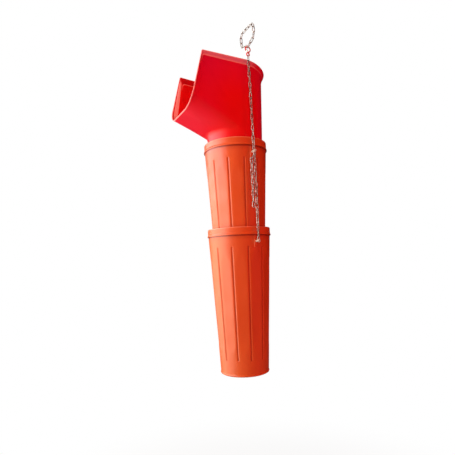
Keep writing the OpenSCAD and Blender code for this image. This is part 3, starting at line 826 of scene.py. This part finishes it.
def axis_turn(axis, degrees):
    """Rotation matrices about one axis of the frame, one for each angle."""
    c, s = np.cos(np.radians(degrees)), np.sin(np.radians(degrees))
    made = np.zeros((len(c), 3, 3))
    made[:, axis, axis] = 1
    a, b = (axis + 1) % 3, (axis + 2) % 3
    made[:, a, a], made[:, b, b], made[:, a, b], made[:, b, a] = c, c, -s, s
    return made


def links_at(centres, turns):
    """Points and quads of a link at each centre, turned by its matrix."""
    points = np.einsum("nij,pqj->npqi", turns, LINK) + centres[:, None, None, :]
    shift = np.arange(len(centres))[:, None, None] * LINK[..., 0].size
    return points, (LINK_QUADS[None] + shift).reshape(-1, 4)


def strand(foot, count):
    """A hanging strand from its lowest link up: quarter turns about Z, each off by a few degrees."""
    centres = np.array(foot) + np.arange(count)[:, None] * [0, 0, PITCH_MM]
    off = shake.uniform(-LOOSE, LOOSE, count)
    off[[0, -1]] = 0
    return centres, axis_turn(2, 90.0 * (np.arange(count) % 2) + off)


print("a strand of ten links is", round(9 * PITCH_MM + LINK_INSIDE + 4 * WIRE_R), "mm long")

# %% Hanging chains and their loose ends
UPPER_BOLT_Z = 1706.6
CHAIN_Y, OUTER_Y, HANGER_LEAN, HANG_X = 275.527, 281.927, 1.2, -15.083
TAIL_PIVOT, TAIL_HANG, TAIL_LEAN = (-31.04, 1643.51), (-2.1, 1680.55), 38.0
HANGER_LINKS, LOWER_LINKS, TAIL_LINKS = 18, 17, 9
LINK_REACH = LINK_INSIDE / 2 + WIRE_R
CROWN_R = LINK_GAP / 2

for side, word in ((-1, "near"), (1, "far")):
    centres, turns = strand((0, 0, LINK_INSIDE / 2 - CROWN_R), HANGER_LINKS)
    lean = axis_turn(1, np.array([-HANGER_LEAN]))
    points, quads = links_at(centres @ lean[0].T + [0, side * CHAIN_Y, UPPER_BOLT_Z], lean @ turns)
    add_piece("hanger_links_" + word, points, quads, "hanger", "chain_steel", ["hanger_chain_" + word])

    foot_z = UPPER_BOLT_Z + CROWN_R - LINK_INSIDE / 2 - (LOWER_LINKS - 1) * PITCH_MM
    centres, turns = strand((0, side * OUTER_Y, foot_z), LOWER_LINKS)
    tilt = math.radians(TAIL_LEAN)
    arm = np.array([[-math.sin(tilt), 0, -math.cos(tilt)]]) * LINK_REACH
    arm = arm + [TAIL_HANG[0], side * OUTER_Y, TAIL_HANG[1]]
    arm_turn = axis_turn(1, np.array([TAIL_LEAN])) @ axis_turn(2, np.array([90.0]))
    points, quads = links_at(np.concatenate([centres, arm]), np.concatenate([turns, arm_turn]))
    stands_for = ["lower_chain_" + word]
    add_piece("lower_links_" + word, points, quads, "lower_chains", "chain_steel", stands_for)

    foot_z = TAIL_PIVOT[1] + 2 * WIRE_R + PLAY - LINK_REACH - (TAIL_LINKS - 1) * PITCH_MM
    points, quads = links_at(*strand((TAIL_PIVOT[0], side * OUTER_Y, foot_z), TAIL_LINKS))
    add_piece("tail_links_" + word, points, quads, word + "_tail", "chain_steel", ["chain_tail_" + word])

# %% [markdown]
# ## The lifting loops
# Above each hook the chain goes round in a loop. The links that lie in the loop's plane and those that
# stand across it take turns, so the bends are at the bows of the flat ones. Set by hand, the links would
# drift apart. Here each leg is as long as its link reaches, so only the headings are chosen.

# %% Loops
HOOK_TOP_Z = 2498.642
HALF_TURNS = np.array([25.0, 25, 68, 90, 130, 175])


def loop_links():
    """Centres and directions of a loop's links: a chain of legs whose headings are given up one side."""
    headings = np.concatenate([HALF_TURNS, [180.0], 360 - HALF_TURNS[::-1]])
    legs = np.where(np.arange(len(headings)) % 2 == 0, STRAIGHT, 2 * PITCH_MM - STRAIGHT)
    steps = legs[:, None] * np.stack([np.cos(np.radians(headings)), np.sin(np.radians(headings))], 1)
    ends = np.concatenate([[[0, 0]], np.cumsum(steps, 0)])
    drift = (2 * WIRE_R + PLAY) * (np.arange(len(headings)) / (len(headings) - 1) - 0.5)
    middles = (ends[1:] + ends[:-1]) / 2
    turns = axis_turn(0, headings - 90) @ axis_turn(2, 90.0 * ((np.arange(len(headings)) + 1) % 2))
    return np.stack([drift, middles[:, 0], middles[:, 1]], 1), turns


for side, word in ((-1, "near"), (1, "far")):
    centres, turns = loop_links()
    mirror = np.diag([1.0, -side, 1.0])
    turns = mirror @ turns @ mirror
    points, quads = links_at(centres @ mirror + [HANG_X, side * CHAIN_Y, HOOK_TOP_Z], turns)
    add_piece("loop_links_" + word, points, quads, "hanger", "chain_steel", ["lifting_loop_" + word])

# %% [markdown]
# ## Light and ground
# The chute hangs in the open against white. Two broad soft lamps on the left, one above the other, act
# as a tall window and give the mouldings their long pale sheen. Weak lamps fill the front, the foot,
# the right, the top and the back, and no surface mirrors them. Those on the shade side are red, like
# light thrown back by bright plastic, so the shade stays deep in colour. The ground lies far below,
# so it only returns a little light and keeps a faint shadow. World and floor show white to the camera
# through the light path, which puts no more light on the chute. Mirrored rays see them dimmed, because
# a full white there lays a pale film over the plastics.

# %% Lamps
WINDOW = {"size": (5.6, 2.6), "sheen": True}
COOL_DAY, WARM_DAY, PLAIN_DAY = (1, 0.95, 0.95), (1, 0.88, 0.68), (1, 0.92, 0.88)
RED_BOUNCE, DEEP_RED = (1, 0.14, 0.12), (1, 0.06, 0.12)
ORANGE_BOUNCE, WARM_SKY = (1, 0.3, 0.14), (1, 0.5, 0.3)


def add_lamp(name, place, aim_z, size, power, colour, sheen=False):
    """A soft lamp that faces a height on the axis, and that smooth surfaces mirror only if asked."""
    lamp = bpy.data.lights.new(name, "AREA")
    lamp.shape, lamp.energy, lamp.color = "RECTANGLE", power, colour
    lamp.size, lamp.size_y = size
    holder = bpy.data.objects.new(name, lamp)
    bpy.context.scene.collection.objects.link(holder)
    holder.visible_camera, holder.visible_glossy = False, sheen
    back = unit(np.array(place, float) - [0, 0, aim_z])
    right = unit(np.cross([0, 0, 1.0], back))
    holder.matrix_world = Matrix(to_matrix((right, np.cross(back, right), back, np.array(place, float))))


add_lamp("window_top", (-2.9, 1.4, 2.75), aim_z=2.75, power=182, colour=COOL_DAY, **WINDOW)
add_lamp("window_foot", (-2.9, 1.4, 0.1), aim_z=0.1, power=146, colour=WARM_DAY, **WINDOW)
add_lamp("front_fill", (-1.9, -2.6, 2.4), aim_z=1.3, size=(2.2, 2.2), power=38.6, colour=RED_BOUNCE)
add_lamp("low_fill", (-1.2, -2.8, 0.2), aim_z=0.4, size=(1.6, 1.6), power=18.6, colour=ORANGE_BOUNCE)
add_lamp("right_bounce", (1.6, -2.8, 1.1), aim_z=1.1, size=(1.5, 3.0), power=41.4, colour=DEEP_RED)
add_lamp("high_sky", (-1.0, -1.4, 5.2), aim_z=1.2, size=(2.5, 2.5), power=71.4, colour=WARM_SKY)
add_lamp("back_fill", (0.9, 3.1, 1.6), aim_z=1.3, size=(2.0, 2.4), power=57, colour=PLAIN_DAY)
print("lamps:", sorted(lamp.name for lamp in bpy.data.lights))

# %% White world
AMBIENT, MIRROR_LOSS = 0.018, 0.008
world = bpy.data.worlds.new("white_studio")
bpy.context.scene.world = world
world.use_nodes = True
tree = world.node_tree
tree.nodes.clear()
light_path = tree.nodes.new("ShaderNodeLightPath")
seen = Wire(tree, light_path.outputs["Is Camera Ray"])
mirrored = Wire(tree, light_path.outputs["Is Glossy Ray"])
clear = Wire(tree, light_path.outputs["Is Transmission Ray"])
level = seen.math("MAXIMUM", seen + clear, AMBIENT - mirrored * MIRROR_LOSS)
glow = seen.node("ShaderNodeBackground", Color=(1, 1, 1, 1), Strength=level)
sky = tree.nodes.new("ShaderNodeOutputWorld")
tree.links.new(glow.socket, sky.inputs["Surface"])
print("world:", world.name, "with", len(tree.nodes), "nodes")

# %% Floor
FLOOR_Z, FLOOR_REACH, FLOOR_GREY, FLOOR_FADE = -1.6, 9.0, 0.28, (1.6, 3.4)
NEAR_GLOW, NEAR_SEEN, NEAR_MIRRORED = 1.1, 0.82, 0.16
floor_corners = np.array([[-1, -1], [1, -1], [1, 1], [-1, 1]]) * FLOOR_REACH
floor_points = np.column_stack([floor_corners, np.full(4, FLOOR_Z)])
floor = bpy.data.objects.new("floor", mesh_from("floor", floor_points, np.array([[0, 1, 2, 3]])))
bpy.context.scene.collection.objects.link(floor)
paper = bpy.data.materials.new("pale_floor")
paper.use_nodes = True
tree = paper.node_tree
matt = tree.nodes["Principled BSDF"]
matt.inputs["Roughness"].default_value = 0.9
matt.inputs["Base Color"].default_value = (FLOOR_GREY, FLOOR_GREY, FLOOR_GREY, 1)
rays = tree.nodes.new("ShaderNodeLightPath")
glimpse = Wire(tree, rays.outputs["Is Camera Ray"])
mirrored = Wire(tree, rays.outputs["Is Glossy Ray"])
spot = Wire(tree, tree.nodes.new("ShaderNodeTexCoord").outputs["Object"])
under = (0, 0, FLOOR_Z)
far_off = glimpse.node("ShaderNodeVectorMath", {"operation": "DISTANCE"}, 1, i0=spot, i1=under)
afar = far_off.band(*FLOOR_FADE)
glow_level = NEAR_GLOW - afar * (NEAR_GLOW - 1)
white = glimpse.node("ShaderNodeEmission", Color=(1, 1, 1, 1), Strength=glow_level)
shaded = Wire(tree, matt.outputs[0])
share = glimpse * (NEAR_SEEN + afar * (1 - NEAR_SEEN))
share = share + mirrored * (NEAR_MIRRORED - afar * NEAR_MIRRORED)
ground = glimpse.node("ShaderNodeMixShader", i0=share, i1=shaded, i2=white)
tree.links.new(ground.socket, tree.nodes["Material Output"].inputs["Surface"])
floor.data.materials.append(paper)
bpy.context.scene.view_settings.view_transform = "Standard"
print("floor at", FLOOR_Z, "m")

# %% [markdown]
